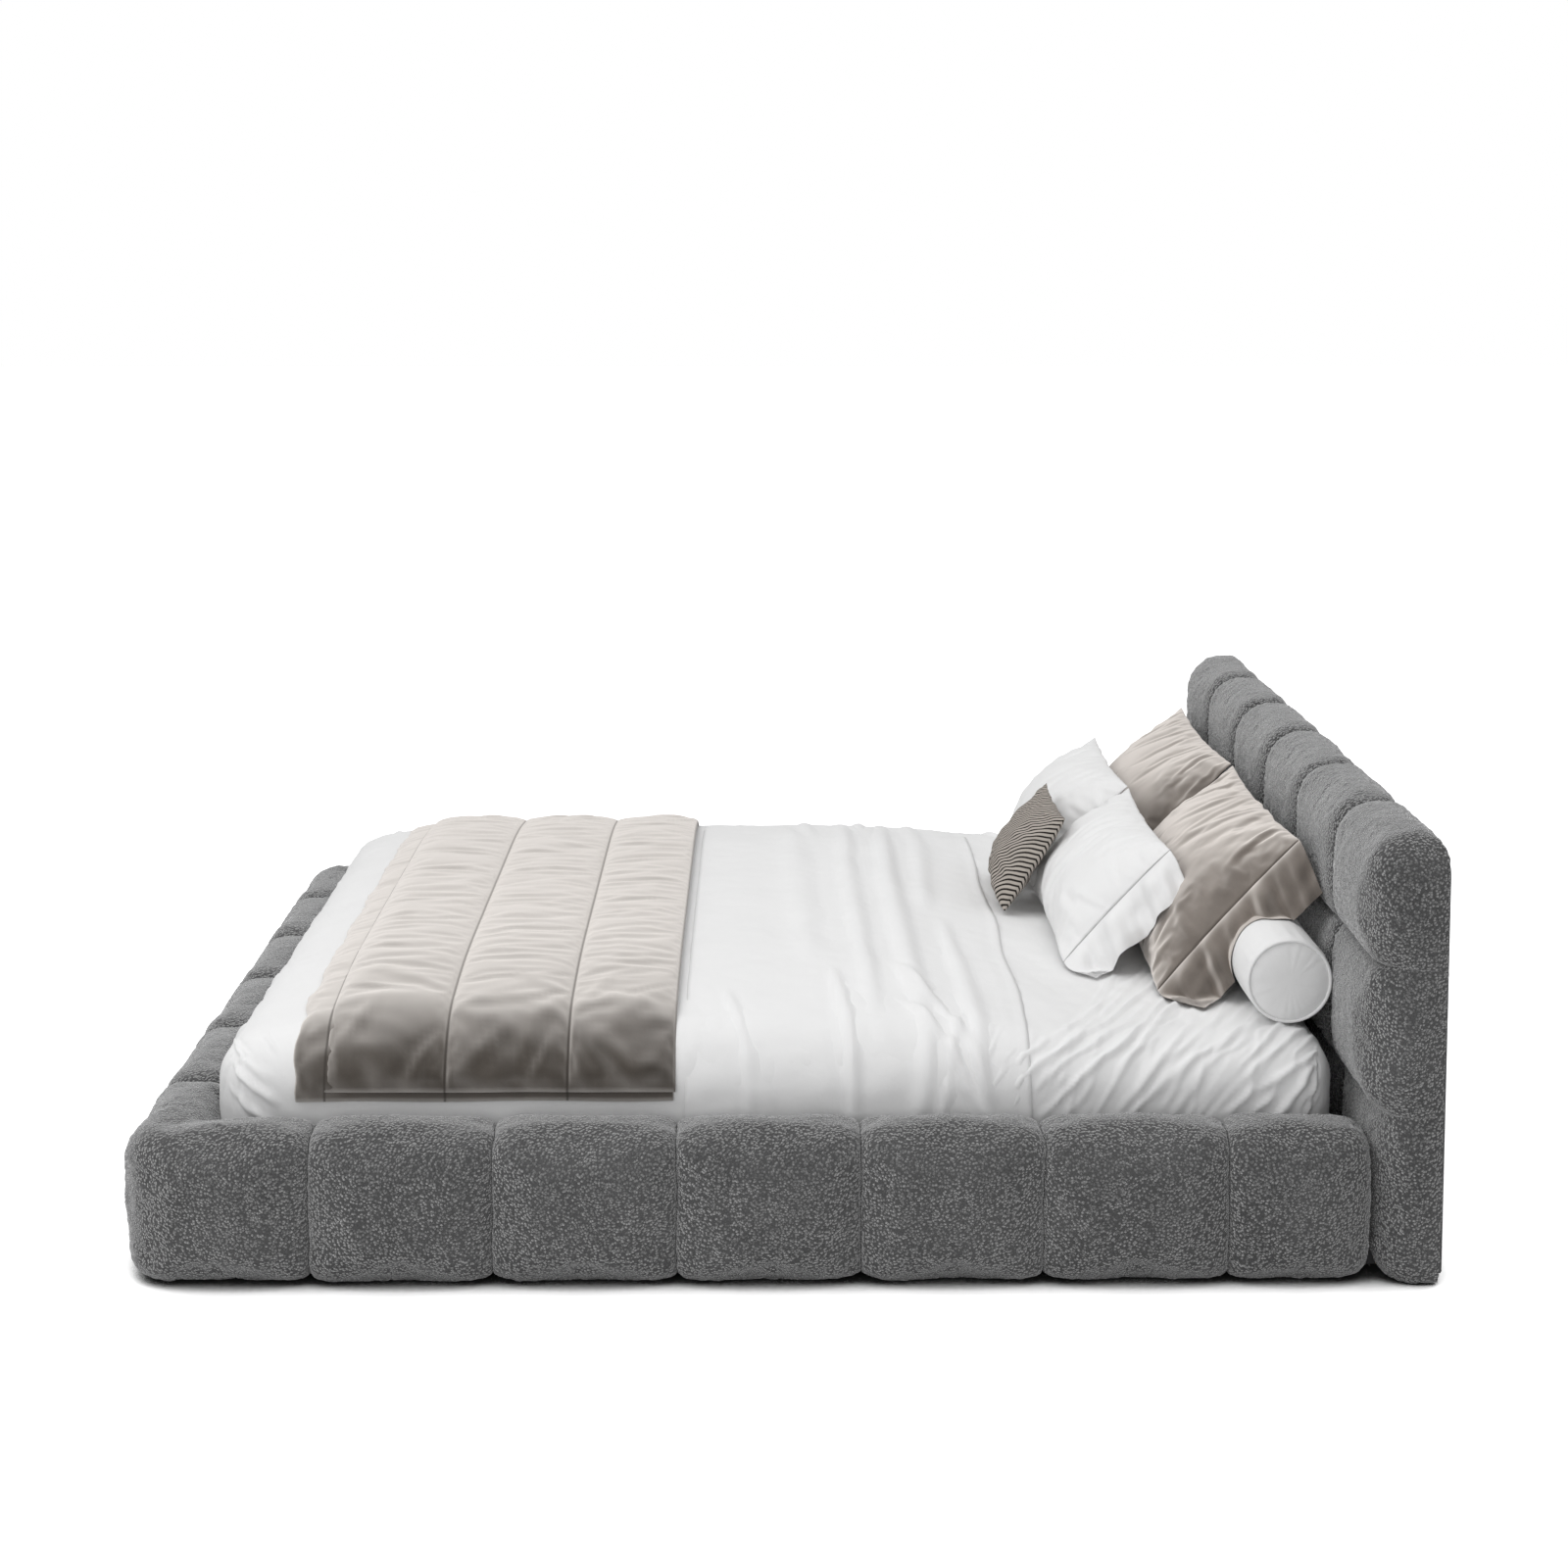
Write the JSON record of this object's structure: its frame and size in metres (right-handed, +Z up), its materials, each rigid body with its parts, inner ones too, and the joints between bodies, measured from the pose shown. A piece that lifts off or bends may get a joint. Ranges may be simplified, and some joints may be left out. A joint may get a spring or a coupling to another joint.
{
  "type": "upholstered headboard bed",
  "caption": "Low double bed with block-tufted boucle headboard and rails, slatted base, mattress, sheets, quilted throw, leaning pillows, bolster and small striped cushion",
  "frame": {"origin": "on the floor, in the middle of the footprint", "axes": "+X across the bed to its right side as seen from the foot, +Y along the bed to the headboard, +Z up"},
  "size_m": [1.89, 2.266, 0.788],
  "materials": {
    "boucle": "looped boucle upholstery cloth over foam blocks",
    "backing_cloth": "flat boucle upholstery cloth on a thin panel",
    "timber": "planed softwood, unfinished",
    "plywood": "birch plywood, unfinished",
    "slat_pine": "planed pine, unfinished",
    "steel": "zinc plated",
    "nylon": "matt nylon",
    "rubber": "matt rubber",
    "webbing": "woven tape",
    "ticking": "knitted mattress cover",
    "white_linen": "plain woven cotton, matt",
    "taupe_velvet": "quilted velvet, soft sheen",
    "beige_velvet": "velvet, soft sheen",
    "striped_cloth": "woven cloth with fine dark stripes"
  },
  "bodies": {
    "bed_frame": {"headboard_back_panel": "backing_cloth", "headboard_timbers": "timber", "headboard_plywood": "plywood", "headboard_blocks_top": "boucle", "headboard_blocks_middle": "boucle", "headboard_blocks_bottom": "boucle", "headboard_glides": "nylon", "right_rail_board": "timber", "left_rail_board": "timber", "foot_board": "timber", "foot_returns": "timber", "right_rail_pad": "boucle", "left_rail_pad": "boucle", "foot_pad": "boucle", "foot_joint_plates": "steel", "foot_joint_bolts": "steel", "head_angles": "steel", "head_angle_bolts": "steel", "right_ledger": "timber", "left_ledger": "timber", "centre_beam": "timber", "beam_hangers": "steel", "centre_legs": "timber", "centre_leg_pads": "rubber", "rail_glides": "nylon", "slats": "slat_pine", "slat_straps": "webbing"},
    "mattress_set": {"mattress": "ticking", "fitted_sheet": "white_linen", "top_sheet": "white_linen"},
    "throw_set": {"throw": "taupe_velvet"},
    "pillow_set": {"beige_pillow_right": "beige_velvet", "beige_pillow_left": "beige_velvet", "white_pillow_right": "white_linen", "white_pillow_left": "white_linen", "bolster": "white_linen"},
    "cushion_set": {"striped_cushion": "striped_cloth"}
  },
  "joints": [
    {"name": "mattress_lift", "type": "slide", "parent": "bed_frame", "child": "mattress_set", "axis": [0, 0, 1], "range_m": [0, 0.4]},
    {"name": "throw_lift", "type": "slide", "parent": "mattress_set", "child": "throw_set", "axis": [0, 0, 1], "range_m": [0, 0.3]},
    {"name": "pillows_lift", "type": "slide", "parent": "mattress_set", "child": "pillow_set", "axis": [0, 0, 1], "range_m": [0, 0.3]},
    {"name": "cushion_lift", "type": "slide", "parent": "pillow_set", "child": "cushion_set", "axis": [0, -0.8442, 0.5361], "range_m": [0, 0.25]}
  ]
}
